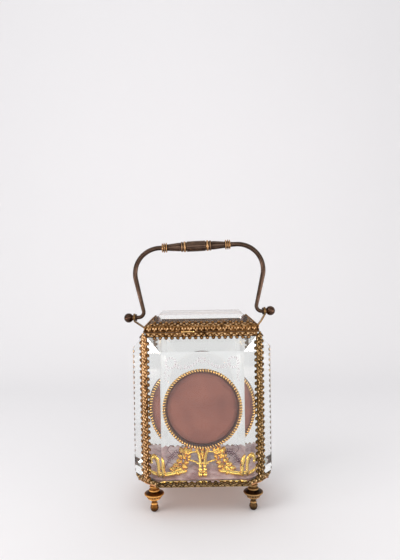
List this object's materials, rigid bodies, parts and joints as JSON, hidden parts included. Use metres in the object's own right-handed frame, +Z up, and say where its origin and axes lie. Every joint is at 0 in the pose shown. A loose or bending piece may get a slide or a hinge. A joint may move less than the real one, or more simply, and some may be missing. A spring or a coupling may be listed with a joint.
{
  "type": "glass watch display case",
  "caption": "Bevelled glass watch casket with toothed brass trim, turned feet, a raised bail handle, a hinged lid and a padded roped-ring stand for a pocket watch.",
  "frame": {"origin": "on the floor, in the middle between the outermost front and back, left and right (within about 1 mm of the middle of the case)", "axes": "+X to the right seen from the front, +Y to the back, +Z up; the front with the thumb lip faces -Y"},
  "size_m": [0.1146, 0.08, 0.1938],
  "materials": {
    "glass": "clear, bevelled",
    "brass": "aged, stamped",
    "bronze": "dark patina",
    "gilt": "gilt",
    "pin": "plain",
    "silk": "silk",
    "pad": "satin"
  },
  "bodies": {
    "case": {"base_plate": "brass", "floor_cushion": "silk", "glass_front": "glass", "glass_back": "glass", "glass_left": "glass", "glass_right": "glass", "corner_post_front_left": "brass", "corner_post_front_right": "brass", "corner_post_back_left": "brass", "corner_post_back_right": "brass", "bottom_rail_front": "brass", "bottom_rail_back": "brass", "bottom_rail_left": "brass", "bottom_rail_right": "brass", "top_rail_front": "brass", "top_rail_back": "brass", "top_rail_left": "brass", "top_rail_right": "brass", "foot_front_left": "brass", "foot_front_right": "brass", "foot_back_left": "brass", "foot_back_right": "brass", "foot_nuts": "pin", "handle_bracket_left": "brass", "handle_bracket_right": "brass", "hinge_leaf_body": "brass", "hinge_pin": "pin", "bezel_rope": "gilt", "holder_drum": "gilt", "holder_back": "gilt", "watch_pad": "pad", "stand_stem": "gilt", "stand_scroll_left": "gilt", "stand_scroll_right": "gilt", "back_strut": "gilt", "holder_rivets": "gilt"},
    "lid": {"lid_glass": "glass", "lid_rail_front": "brass", "lid_rail_back": "brass", "lid_rail_left": "brass", "lid_rail_right": "brass", "thumb_lip": "brass", "hinge_leaf_lid": "brass"},
    "bail": {"bail_arm_left": "bronze", "bail_arm_right": "bronze", "handle_grip": "bronze", "bail_collar_left": "bronze", "bail_collar_right": "bronze", "ball_finial_left": "bronze", "ball_finial_right": "bronze"}
  },
  "joints": [
    {"name": "lid_hinge", "type": "hinge", "parent": "case", "child": "lid", "pos_m": [0, 0.033, 0.1281], "axis": [-1, 0, 0], "range_deg": [0, 105]},
    {"name": "bail_swing", "type": "hinge", "parent": "case", "child": "bail", "pos_m": [-0.001, 0, 0.1377], "axis": [0.9993, 0, 0.0366], "range_deg": [-115, 115]}
  ]
}
